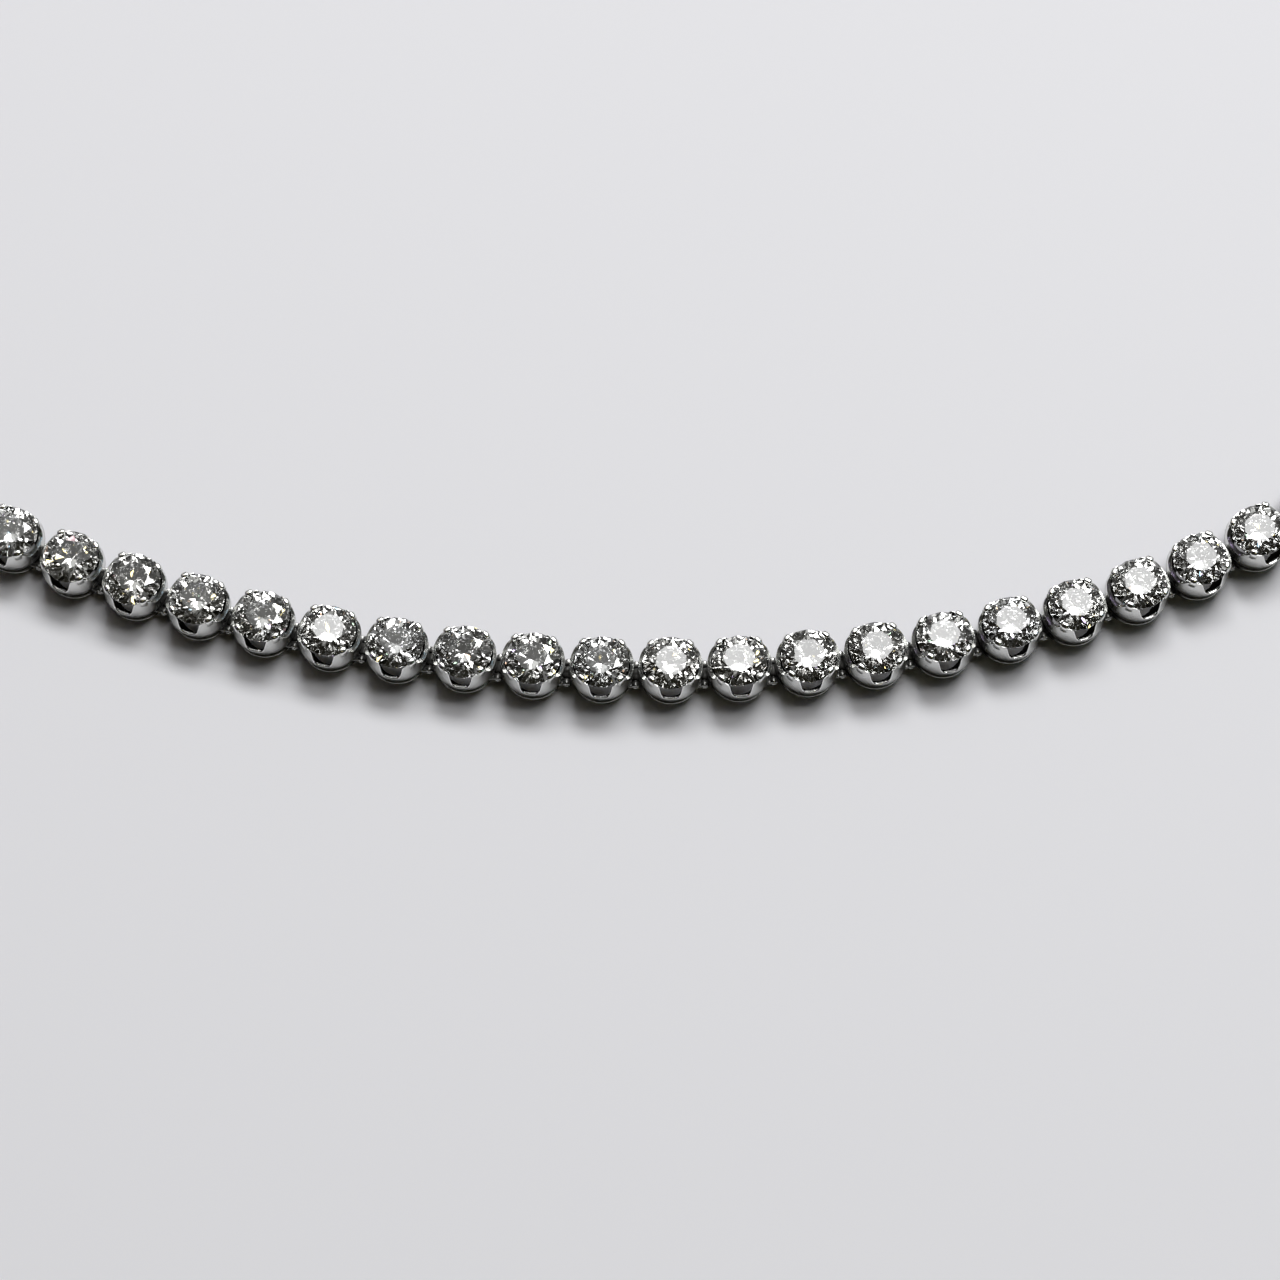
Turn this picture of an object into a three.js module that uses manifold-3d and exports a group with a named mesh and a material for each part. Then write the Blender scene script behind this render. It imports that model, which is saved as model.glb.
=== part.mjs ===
// A riviera necklace of round brilliants, closed by a plain clasp and lying flat as an oval loop. Millimetres, +Z up.
//
// Each stone sits in its own setting: an open-backed collet on a flared foot, with a deep scallop at the front and
// back, higher walls towards its neighbours, and four claws between them that reach over the stone's edge. A hinge
// joins each setting to the next: two outer knuckles and a pin at its leading side, and the next setting's middle
// knuckle on that pin.
//
// The eighteen settings and stones in the middle of the wearer's view are pieces of their own. The rest of the loop
// is made of short stretches with fewer sides, where stones, settings and the links between them are soldered.
//
// The origin is under the middle of the loop, on the surface that it lies on. The front is at -Y, the clasp at +Y.
// In a setting's own frame the stone's axis is Z and the loop runs along +X.
import * as THREE from "three";
import { mergeVertices } from "three/addons/utils/BufferGeometryUtils.js";
import Module from "manifold-3d";

const wasm = await Module();
wasm.setup();

// ---- The loop ----
const PITCH = 4.92; // from one stone's axis to the next
const LOOP_HALF_WIDTH = 76.5; // of the oval through the stones' axes, along X
const LOOP_HALF_DEPTH = 51.4; // the same along Y
const SETTINGS_A_SIDE = 40; // from the middle of the front to the clasp
const SINGLE_SETTINGS = { left: 6, right: 12 }; // of those, the ones that are pieces of their own
const STRETCHES = { left: [6, 6, 5, 5, 6, 6], right: [6, 5, 5, 6, 6] }; // settings in each, from the front on

// ---- The stone: a round brilliant, with its parts as shares of the diameter ----
const STONE_DIAMETER = 4.0;
const TABLE = 0.57;
const CROWN_HEIGHT = 0.14;
const PAVILION_DEPTH = 0.43;
const STAR_REACH = 0.5; // of the way from the table's edge to the girdle

// ---- The setting ----
const GIRDLE_Z = 2.9; // the level of the stone's edge
const CLAW_ANGLES = [45, 135, 225, 315]; // about the stone's axis, in degrees
const CLAW_HALF_ANGLE = 6;
const SCALLOP_HALF_ANGLE = 18; // of a scallop's level bottom

// Corners of the wall's section, as radius and height.
const BACK_HOLE = [1.35, 0];
const FOOT_EDGE = [2.08, 0];
const WAIST = [1.93, 0.42];
const RIM_OUTSIDE = [2.33, 1.72];
const RIM_INSIDE = [2.13, 1.7];
const SIDE_RIM_OUTSIDE = [2.32, 2.5]; // of the higher walls that face the neighbouring settings
const SIDE_RIM_INSIDE = [2.12, 2.48];
const CLAW_CREST = [2.17, 3.4];
const CLAW_TIP = [1.72, 3.19];
const CLAW_NOTCH = [2.06, 2.93]; // where the claw is cut for the stone's edge
const CLAW_SEAT = [1.84, 2.64]; // on which the stone rests

// ---- The hinge ----
const HINGE_Z = 0.66;
const KNUCKLE_RADIUS = 0.34;
const KNUCKLE_ARM_HALF_HEIGHT = 0.16;
const MIDDLE_KNUCKLE_HALF_WIDTH = 0.42;
const OUTER_KNUCKLE = { from: 0.52, to: 1.0 }; // along the hinge, on each side
const PIN_RADIUS = 0.14;
const PIN_HOLE_RADIUS = 0.24;
const OUTER_KNUCKLE_ROOT = 1.525; // from the stone's axis, within the wall
const MIDDLE_KNUCKLE_ROOT = 1.74;

// ---- A stretch's links ----
const LINK_TOP = 0.95;
const LINK_HALF_WIDTH = 0.87;
const LINK_END = 1.95; // a stretch's last link ends here, from the stone's axis

// ---- The clasp ----
const CLASP_HALF_WIDTH = 2.2;
const CLASP_HEIGHT = 2.9;
const CLASP_EDGE = 0.45;
const CLASP_TO_HINGE = 0.5; // from the clasp's end to the pin's axis

const WHITE_GOLD = { color: 0xd9d9d6, roughness: 0.18, metalness: 1.0 };
const DIAMOND = { color: 0xf2f4f5, roughness: 0.02, metalness: 0.0 };

const { degToRad } = THREE.MathUtils;

// A point at a radius, a height and an angle in degrees about Z.
function polar([radius, z], angle) {
  return new THREE.Vector3(radius * Math.cos(degToRad(angle)), radius * Math.sin(degToRad(angle)), z);
}

// ---- From points and faces to geometries and solids ----

function polyhedron(points, faces) {
  const geometry = new THREE.BufferGeometry().setFromPoints(points);
  geometry.setIndex(faces.flat());
  return withoutDoubles(geometry);
}

// Merges corners that stand in one place, and drops the faces that this leaves without any area.
function withoutDoubles(geometry) {
  geometry.deleteAttribute("normal");
  geometry.deleteAttribute("uv");
  const merged = mergeVertices(geometry, 1e-4);
  const corners = merged.index.array;
  const kept = [];
  for (let i = 0; i < corners.length; i += 3) {
    const [a, b, c] = corners.slice(i, i + 3);
    if (a !== b && b !== c && c !== a) kept.push(a, b, c);
  }
  merged.setIndex(kept);
  merged.computeVertexNormals();
  return merged;
}

function toSolid(geometry) {
  const closed = withoutDoubles(geometry.clone());
  const mesh = new wasm.Mesh({
    numProp: 3,
    vertProperties: new Float32Array(closed.attributes.position.array),
    triVerts: new Uint32Array(closed.index.array),
  });
  return new wasm.Manifold(mesh);
}

function toGeometry(solid) {
  const { vertProperties, triVerts } = solid.getMesh();
  const geometry = new THREE.BufferGeometry();
  geometry.setAttribute("position", new THREE.BufferAttribute(vertProperties, 3));
  geometry.setIndex(new THREE.BufferAttribute(triVerts, 1));
  geometry.computeVertexNormals();
  return geometry;
}

// Two triangles between a side a-b and the side d-c above it.
function quad(a, b, c, d) {
  return [[a, b, c], [a, c, d]];
}

// ---- The stone ----

// A round brilliant with its girdle at z = 0 and its table up: the table, 8 stars, 8 bezels, 16 upper halves
// and 16 pavilion facets. The bezels are flat kites.
function brilliant() {
  const girdleR = STONE_DIAMETER / 2;
  const tableR = TABLE * girdleR;
  const crown = CROWN_HEIGHT * STONE_DIAMETER;
  const pavilion = PAVILION_DEPTH * STONE_DIAMETER;
  const halfStep = Math.cos(degToRad(22.5));
  const starR = tableR * halfStep + STAR_REACH * (girdleR - tableR * halfStep);
  const starZ = ((girdleR - starR * halfStep) * crown) / (girdleR - tableR);

  const points = [];
  for (let k = 0; k < 8; k++) {
    const main = 45 * k;
    const between = main + 22.5;
    points.push(polar([tableR, crown], main), polar([starR, starZ], between));
    points.push(polar([girdleR, 0], main), polar([girdleR, 0], between));
  }
  const culet = points.push(new THREE.Vector3(0, 0, -pavilion)) - 1;

  const table = (k) => (k % 8) * 4;
  const star = (k) => ((k + 8) % 8) * 4 + 1;
  const girdle = (k) => (k % 8) * 4 + 2;
  const midGirdle = (k) => ((k + 8) % 8) * 4 + 3;
  const faces = [];
  for (let k = 0; k < 8; k++) {
    if (k > 0 && k < 7) faces.push([table(0), table(k), table(k + 1)]);
    faces.push([table(k), star(k), table(k + 1)]);
    faces.push([table(k), star(k - 1), girdle(k)], [table(k), girdle(k), star(k)]);
    faces.push([star(k), girdle(k), midGirdle(k)], [star(k), midGirdle(k), girdle(k + 1)]);
    faces.push([culet, midGirdle(k), girdle(k)], [culet, girdle(k + 1), midGirdle(k)]);
  }
  return polyhedron(points, faces);
}

// ---- The setting ----

// The wall's section at one angle, closed on itself. The foot keeps to the angle of the scallop or claw that it
// stands under, so that it has eight corners where the rim has sixteen. A scallop's section repeats its last
// corner where a claw's has more.
function wallSection(angle, footAngle, upper) {
  const foot = [BACK_HOLE, FOOT_EDGE, WAIST].map((corner) => polar(corner, footAngle));
  return [...foot, ...upper.map((corner) => polar(corner, angle))];
}

function collet() {
  const scallop = [RIM_OUTSIDE, RIM_INSIDE, RIM_INSIDE, RIM_INSIDE, RIM_INSIDE];
  const side = [SIDE_RIM_OUTSIDE, SIDE_RIM_INSIDE, SIDE_RIM_INSIDE, SIDE_RIM_INSIDE, SIDE_RIM_INSIDE];
  const claw = [RIM_OUTSIDE, CLAW_CREST, CLAW_TIP, CLAW_NOTCH, CLAW_SEAT];
  const between = (at) => (at % 180 === 0 ? side : scallop);
  const sections = CLAW_ANGLES.flatMap((at) => [
    wallSection(at - 45 + SCALLOP_HALF_ANGLE, at - 45, between(at - 45)),
    wallSection(at - CLAW_HALF_ANGLE, at, claw),
    wallSection(at + CLAW_HALF_ANGLE, at, claw),
    wallSection(at + 45 - SCALLOP_HALF_ANGLE, at + 45, between(at + 45)),
  ]);
  const size = sections[0].length;
  const faces = [];
  sections.forEach((_, i) => {
    const here = i * size;
    const next = ((i + 1) % sections.length) * size;
    for (let j = 0; j < size; j++) {
      const k = (j + 1) % size;
      faces.push(...quad(here + j, next + j, next + k, here + k));
    }
  });
  return toSolid(polyhedron(sections.flat(), faces));
}

// ---- The hinge ----

// A knuckle on an arm, from a root at one x to a pin's axis at another, between two places along the hinge.
function knuckle(rootX, pinX, fromY, toY) {
  const way = Math.sign(pinX - rootX);
  const nose = [-75, 0, 75].map((angle) => [
    pinX + way * KNUCKLE_RADIUS * Math.cos(degToRad(angle)),
    HINGE_Z + KNUCKLE_RADIUS * Math.sin(degToRad(angle)),
  ]);
  const arm = [
    [rootX, HINGE_Z + KNUCKLE_ARM_HALF_HEIGHT],
    [rootX, HINGE_Z - KNUCKLE_ARM_HALF_HEIGHT],
  ];
  return alongHinge([...nose, ...arm], fromY, toY);
}

// A prism along Y with the given outline, of x and z.
function alongHinge(outline, fromY, toY) {
  const shape = new THREE.Shape(outline.map(([x, z]) => new THREE.Vector2(x, z)));
  const prism = new THREE.ExtrudeGeometry(shape, { depth: toY - fromY, bevelEnabled: false });
  prism.rotateX(Math.PI / 2);
  prism.translate(0, toY, 0);
  return toSolid(prism);
}

function squareRod(pinX, radius, halfLength) {
  const outline = [0, 90, 180, 270].map((angle) => [
    pinX + radius * Math.cos(degToRad(angle)),
    HINGE_Z + radius * Math.sin(degToRad(angle)),
  ]);
  return alongHinge(outline, -halfLength, halfLength);
}

function outerKnuckles(rootX, pinX) {
  const { from, to } = OUTER_KNUCKLE;
  const pin = squareRod(pinX, PIN_RADIUS, (from + to) / 2);
  return knuckle(rootX, pinX, from, to).add(knuckle(rootX, pinX, -to, -from)).add(pin);
}

function middleKnuckle(rootX, pinX) {
  const half = MIDDLE_KNUCKLE_HALF_WIDTH;
  return knuckle(rootX, pinX, -half, half).subtract(squareRod(pinX, PIN_HOLE_RADIUS, 2 * half));
}

const leadingKnuckles = outerKnuckles(OUTER_KNUCKLE_ROOT, PITCH / 2);
const trailingKnuckle = middleKnuckle(-MIDDLE_KNUCKLE_ROOT, -PITCH / 2);

// ---- A stretch of settings ----

// The corners of one setting of a stretch, in its own frame, as five rings of eight from the bottom up, then the
// four claws' tips. The lowest two rings reach forwards and back to the links' ends, and share their other corners.
function stretchSettingCorners(back, front) {
  const corner = Math.cos(degToRad(22.5));
  const ring = ([radius, z]) => Array.from({ length: 8 }, (_, k) => polar([radius / corner, z], 45 * k + 22.5));
  const foot = ring(FOOT_EDGE);
  const linked = (z) => {
    const corners = foot.map((corner) => corner.clone());
    const [frontLeft, backLeft, backRight, frontRight] = [0, 3, 4, 7];
    corners[frontLeft].copy(front.left).setZ(z);
    corners[frontRight].copy(front.right).setZ(z);
    corners[backRight].copy(back.right).setZ(z);
    corners[backLeft].copy(back.left).setZ(z);
    return corners;
  };
  const girdleR = (STONE_DIAMETER / 2) * corner;
  const table = [TABLE * girdleR, GIRDLE_Z + CROWN_HEIGHT * STONE_DIAMETER];
  const rings = [linked(0), linked(LINK_TOP), ring(RIM_OUTSIDE), ring([girdleR, GIRDLE_Z]), ring(table)];
  const tip = [(CLAW_CREST[0] + CLAW_TIP[0]) / 2, CLAW_CREST[1]];
  return [...rings.flat(), ...CLAW_ANGLES.map((angle) => polar(tip, angle))];
}

// The faces between those corners. A claw rises from each slanting side, and a link leaves through sides 3 and 7.
function stretchSettingFaces(isFirst, isLast) {
  const [BOTTOM, LINK, RIM, GIRDLE, TABLE_RING, TIPS] = [0, 8, 16, 24, 32, 40];
  const faces = [];
  for (let k = 0; k < 8; k++) {
    const next = (k + 1) % 8;
    const side = (low, high) => quad(low + k, low + next, high + next, high + k);
    const opensOnLink = (k === 7 && !isLast) || (k === 3 && !isFirst);
    if (!opensOnLink) faces.push(...side(BOTTOM, LINK));
    faces.push(...side(LINK, RIM), ...side(GIRDLE, TABLE_RING));
    if (k % 2 === 0) {
      const tip = TIPS + k / 2;
      const around = [RIM + k, RIM + next, GIRDLE + next, GIRDLE + k];
      around.forEach((corner, i) => faces.push([corner, around[(i + 1) % 4], tip]));
    } else {
      faces.push(...side(RIM, GIRDLE));
    }
    if (k > 0 && k < 7) {
      faces.push([BOTTOM, BOTTOM + next, BOTTOM + k], [TABLE_RING, TABLE_RING + k, TABLE_RING + next]);
    }
  }
  return faces;
}

// The two sides of the link between two places on the loop, halfway and square to the line between them.
function linkBetween(place, next) {
  const middle = place.position.clone().lerp(next.position, 0.5);
  const across = next.position.clone().sub(place.position).setLength(LINK_HALF_WIDTH);
  const toLeft = new THREE.Vector3(-across.y, across.x, 0);
  return { left: middle.clone().add(toLeft), right: middle.clone().sub(toLeft) };
}

function linkEnd(x) {
  return { left: new THREE.Vector3(x, LINK_HALF_WIDTH, 0), right: new THREE.Vector3(x, -LINK_HALF_WIDTH, 0) };
}

function inFrameOf(matrix, { left, right }) {
  return { left: left.clone().applyMatrix4(matrix), right: right.clone().applyMatrix4(matrix) };
}

// A stretch in the frame of its first setting.
function stretch(places) {
  const toStretch = matrixOf(places[0]).invert();
  const points = [];
  const faces = [];
  places.forEach((place, i) => {
    const isFirst = i === 0;
    const isLast = i === places.length - 1;
    const toOwn = matrixOf(place).invert();
    const back = isFirst ? linkEnd(-LINK_END) : inFrameOf(toOwn, linkBetween(places[i - 1], place));
    const front = isLast ? linkEnd(LINK_END) : inFrameOf(toOwn, linkBetween(place, places[i + 1]));
    const toShared = matrixOf(place).premultiply(toStretch);
    const first = points.length;
    points.push(...stretchSettingCorners(back, front).map((point) => point.applyMatrix4(toShared)));
    stretchSettingFaces(isFirst, isLast).forEach((face) => faces.push(face.map((corner) => first + corner)));
  });
  const toLast = matrixOf(places.at(-1)).premultiply(toStretch);
  const leading = leadingKnuckles.transform(toLast.elements);
  return toSolid(polyhedron(points, faces)).add(leading).add(trailingKnuckle);
}

// ---- The clasp ----

// One plain piece that closes the loop: a box with eased edges between the last setting's hinge and the first's.
function clasp(pinX) {
  const half = pinX - CLASP_TO_HINGE;
  const corners = [
    [CLASP_HALF_WIDTH - CLASP_EDGE, 0],
    [CLASP_HALF_WIDTH, CLASP_EDGE],
    [CLASP_HALF_WIDTH, CLASP_HEIGHT - CLASP_EDGE],
    [CLASP_HALF_WIDTH - CLASP_EDGE, CLASP_HEIGHT],
  ];
  const mirrored = corners.map(([y, z]) => [-y, z]).reverse();
  const outline = new THREE.Shape([...corners, ...mirrored].map(([y, z]) => new THREE.Vector2(y, z)));
  const box = new THREE.ExtrudeGeometry(outline, { depth: 2 * half, bevelEnabled: false });
  box.rotateX(Math.PI / 2);
  box.rotateZ(Math.PI / 2);
  box.translate(-half, 0, 0);
  const root = half - CLASP_EDGE;
  return toSolid(box).add(outerKnuckles(root, pinX)).add(middleKnuckle(-root, -pinX));
}

// ---- Places along the loop ----

// t is the oval's parameter: 0 at the middle of the front, and growing towards +X. The heading is the direction
// of travel, counter-clockwise from above.
function placeAt(t) {
  const position = new THREE.Vector3(LOOP_HALF_WIDTH * Math.sin(t), -LOOP_HALF_DEPTH * Math.cos(t), 0);
  const heading = Math.atan2(LOOP_HALF_DEPTH * Math.sin(t), LOOP_HALF_WIDTH * Math.cos(t));
  return { t, position, heading };
}

// The next place, one pitch on from the last, found by halving.
function placeAfter(last) {
  let [near, far] = [last.t, last.t + (2 * PITCH) / LOOP_HALF_DEPTH];
  for (let i = 0; i < 40; i++) {
    const middle = (near + far) / 2;
    if (placeAt(middle).position.distanceTo(last.position) < PITCH) near = middle;
    else far = middle;
  }
  return placeAt(near);
}

// All places in order of travel. The left side mirrors the right, and the two nearest the middle of the front are
// a pitch apart.
function loopPlaces() {
  const right = [placeAt(Math.asin(PITCH / 2 / LOOP_HALF_WIDTH))];
  while (right.length < SETTINGS_A_SIDE) right.push(placeAfter(right.at(-1)));
  const left = right.map(({ t }) => placeAt(-t)).reverse();
  return [...left, ...right];
}

function matrixOf({ position, heading }) {
  return new THREE.Matrix4().makeRotationZ(heading).setPosition(position.x, position.y, position.z);
}

// ---- The assembly ----

const necklace = new THREE.Group();
const places = loopPlaces();

function addPiece(name, geometry, finish, { position, heading }, z = 0) {
  const mesh = new THREE.Mesh(geometry, new THREE.MeshStandardMaterial(finish));
  mesh.name = name;
  mesh.position.set(position.x, position.y, z);
  mesh.rotation.z = heading;
  necklace.add(mesh);
}

const twoDigits = (n) => String(n).padStart(2, "0");

const firstSingle = SETTINGS_A_SIDE - SINGLE_SETTINGS.left;
const afterSingles = SETTINGS_A_SIDE + SINGLE_SETTINGS.right;
const settingGeometry = toGeometry(collet().add(leadingKnuckles).add(trailingKnuckle));
const stoneGeometry = brilliant();
places.slice(firstSingle, afterSingles).forEach((place, i) => {
  addPiece(`setting_${twoDigits(i + 1)}`, settingGeometry, WHITE_GOLD, place);
  addPiece(`stone_${twoDigits(i + 1)}`, stoneGeometry, DIAMOND, place, GIRDLE_Z);
});

let end = firstSingle;
STRETCHES.left.forEach((size, i) => {
  const own = places.slice(end - size, end);
  addPiece(`left_stretch_${i + 1}`, toGeometry(stretch(own)), WHITE_GOLD, own[0]);
  end -= size;
});

let start = afterSingles;
STRETCHES.right.forEach((size, i) => {
  const own = places.slice(start, start + size);
  addPiece(`right_stretch_${i + 1}`, toGeometry(stretch(own)), WHITE_GOLD, own[0]);
  start += size;
});

// The clasp lies between the pins at the back, which are half a pitch on from the last stone's axis and before
// the first one's.
const lastPin = new THREE.Vector3(PITCH / 2, 0, 0).applyMatrix4(matrixOf(places.at(-1)));
const claspPlace = { position: new THREE.Vector3(0, lastPin.y, 0), heading: Math.PI };
addPiece("clasp", toGeometry(clasp(lastPin.x)), WHITE_GOLD, claspPlace);

// Centre the loop's box over the origin.
const centre = new THREE.Box3().setFromObject(necklace, true).getCenter(new THREE.Vector3());
necklace.position.set(-centre.x, -centre.y, 0);

export default necklace;
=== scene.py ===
"""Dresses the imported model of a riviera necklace: polished settings, cut stones, hinges and a box clasp.

The script is laid out as an add-on. Every shape is worked out with numpy, in metres, in the frame of the
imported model: the loop lies on z = 0, the front of the row is at -Y and the clasp at +Y. In a setting's own
frame the stone's axis is Z and the loop runs along +X.
"""

import math

import bpy
import numpy as np
from bpy.props import FloatProperty, FloatVectorProperty, IntProperty, PointerProperty
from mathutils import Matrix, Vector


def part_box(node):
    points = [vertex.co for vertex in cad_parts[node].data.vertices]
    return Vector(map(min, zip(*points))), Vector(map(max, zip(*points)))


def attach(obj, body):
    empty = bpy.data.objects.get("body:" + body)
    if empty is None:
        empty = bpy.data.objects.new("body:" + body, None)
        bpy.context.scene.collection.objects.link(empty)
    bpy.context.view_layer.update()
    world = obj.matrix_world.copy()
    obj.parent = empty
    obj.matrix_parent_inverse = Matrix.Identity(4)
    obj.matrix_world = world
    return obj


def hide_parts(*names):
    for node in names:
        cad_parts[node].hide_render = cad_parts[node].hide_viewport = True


bl_info = {
    "name": "Riviera Necklace",
    "version": (1, 0, 0),
    "blender": (4, 5, 0),
    "location": "3D View > Sidebar > Necklace",
    "description": "Builds the polished settings and cut stones of a riviera necklace",
    "category": "Object",
}

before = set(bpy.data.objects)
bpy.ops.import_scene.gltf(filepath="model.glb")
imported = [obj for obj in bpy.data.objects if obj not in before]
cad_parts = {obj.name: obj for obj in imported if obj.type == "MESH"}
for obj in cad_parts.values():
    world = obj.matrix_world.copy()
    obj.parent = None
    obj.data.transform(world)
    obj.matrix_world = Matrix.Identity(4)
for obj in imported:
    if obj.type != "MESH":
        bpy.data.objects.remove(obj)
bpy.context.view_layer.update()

MM = 0.001
SINGLES = sum(name.startswith("stone_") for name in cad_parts)
STRETCHES = {"left": (6, 6, 5, 5, 6, 6), "right": (6, 5, 5, 6, 6)}  # settings in each, from the front on
FIRST_SINGLE = sum(STRETCHES["left"])  # settings between the clasp and the first single one
PLACE_TOLERANCE = 0.02 * MM  # between a setting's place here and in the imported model
HALVINGS = 50


# ---- What a user would change ----


class NecklaceSizes(bpy.types.PropertyGroup):
    """Sizes of the loop, its settings and its stones."""

    settings_a_side: IntProperty(
        name="Settings a side", description="From the middle of the front to the clasp", default=40, min=1
    )
    pitch: FloatProperty(
        name="Pitch", description="From one stone's axis to the next", default=4.92 * MM, unit="LENGTH"
    )
    loop_half_width: FloatProperty(
        name="Loop half width", description="Of the oval, along X", default=76.5 * MM, unit="LENGTH"
    )
    loop_half_depth: FloatProperty(
        name="Loop half depth", description="Of the oval, along Y", default=51.4 * MM, unit="LENGTH"
    )
    stone_diameter: FloatProperty(
        name="Stone diameter", description="Across the girdle", default=4.0 * MM, unit="LENGTH"
    )
    girdle_height: FloatProperty(
        name="Girdle height", description="Of the stone's widest edge", default=2.9 * MM, unit="LENGTH"
    )
    table: FloatProperty(
        name="Table", description="Share of the stone's diameter", default=0.57, subtype="FACTOR"
    )
    crown: FloatProperty(
        name="Crown height", description="Share of the stone's diameter", default=0.14, subtype="FACTOR"
    )
    scallop_floor: FloatProperty(
        name="Scallop floor", description="Height of its lowest point", default=1.72 * MM, unit="LENGTH"
    )
    scallop_width: FloatProperty(
        name="Scallop width", description="Half of it, two thirds up", default=0.86 * MM, unit="LENGTH"
    )
    side_rim: FloatProperty(
        name="Side rim", description="Height of the wall at a neighbour", default=2.5 * MM, unit="LENGTH"
    )
    side_rim_width: FloatProperty(
        name="Side rim width", description="Half of it, two thirds up", default=1.30 * MM, unit="LENGTH"
    )
    claw_width: FloatProperty(
        name="Claw width", description="At its bead", default=0.60 * MM, unit="LENGTH"
    )


class NecklaceFinish(bpy.types.PropertyGroup):
    """Colours and polish."""

    metal_colour: FloatVectorProperty(
        name="White gold",
        description="Rhodium plated",
        subtype="COLOR",
        size=3,
        default=(0.90, 0.905, 0.88),
    )
    metal_roughness: FloatProperty(
        name="Metal roughness", description="Of the polished metal", default=0.17, subtype="FACTOR"
    )
    # Painted shade: near-black colour painted where shade falls in the hinges, the groove, under the belly,
    # between and inside the settings; also the grime in the clasp's seams.
    shade_and_grime_colour: FloatVectorProperty(
        name="Grime",
        description="In grooves, hinges and inside the settings",
        subtype="COLOR",
        size=3,
        default=(0.02, 0.019, 0.017),
    )
    stone_ior: FloatProperty(name="Stone IOR", description="Of diamond", default=2.417)
    cool_stone: FloatVectorProperty(
        name="Cool stone",
        description="Tint of the whitest stones",
        subtype="COLOR",
        size=3,
        default=(0.98, 0.99, 1.0),
    )
    warm_stone: FloatVectorProperty(
        name="Warm stone",
        description="Tint of the warmest stones",
        subtype="COLOR",
        size=3,
        default=(1.0, 0.985, 0.94),
    )


class NecklaceStage(bpy.types.PropertyGroup):
    """Floor, light and camera."""

    floor_colour: FloatVectorProperty(
        name="Floor", description="Its pale colour", subtype="COLOR", size=3, default=(0.80, 0.80, 0.83)
    )
    camera_azimuth: FloatProperty(
        name="Camera azimuth", description="0 looks along +Y", default=math.radians(8.3), subtype="ANGLE"
    )
    camera_elevation: FloatProperty(
        name="Camera elevation", description="Above the horizon", default=math.radians(67), subtype="ANGLE"
    )
    camera_target: FloatVectorProperty(
        name="Camera target",
        description="Point that the camera looks at",
        subtype="TRANSLATION",
        size=3,
        default=(14.73 * MM, -48.52 * MM, 2.75 * MM),
    )
    camera_distance: FloatProperty(
        name="Camera distance", description="To its target", default=0.2571, unit="LENGTH"
    )
    camera_lens: FloatProperty(name="Camera lens", description="Focal length", default=101.25, unit="CAMERA")


# ---- Grids and meshes ----


def along(start, end, count):
    """Evenly spaced numbers from start to end."""
    return np.linspace(start, end, count)


def smoothstep(t):
    """3t^2 - 2t^3 for t held within 0 and 1: a rise with level ends."""
    t = np.clip(t, 0.0, 1.0)
    return t * t * (3.0 - 2.0 * t)


def grid_faces(rows, columns, wrap_rows=False, wrap_columns=False):
    """Four corners of each cell of a grid numbered row by row; a wrapped side joins last to first."""
    i = np.arange(rows if wrap_rows else rows - 1)[:, None]
    j = np.arange(columns if wrap_columns else columns - 1)[None, :]
    next_i = (i + 1) % rows
    next_j = (j + 1) % columns
    corners = [i * columns + j, next_i * columns + j, next_i * columns + next_j, i * columns + next_j]
    return np.stack(np.broadcast_arrays(*corners), axis=-1).reshape(-1, 4)


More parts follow.
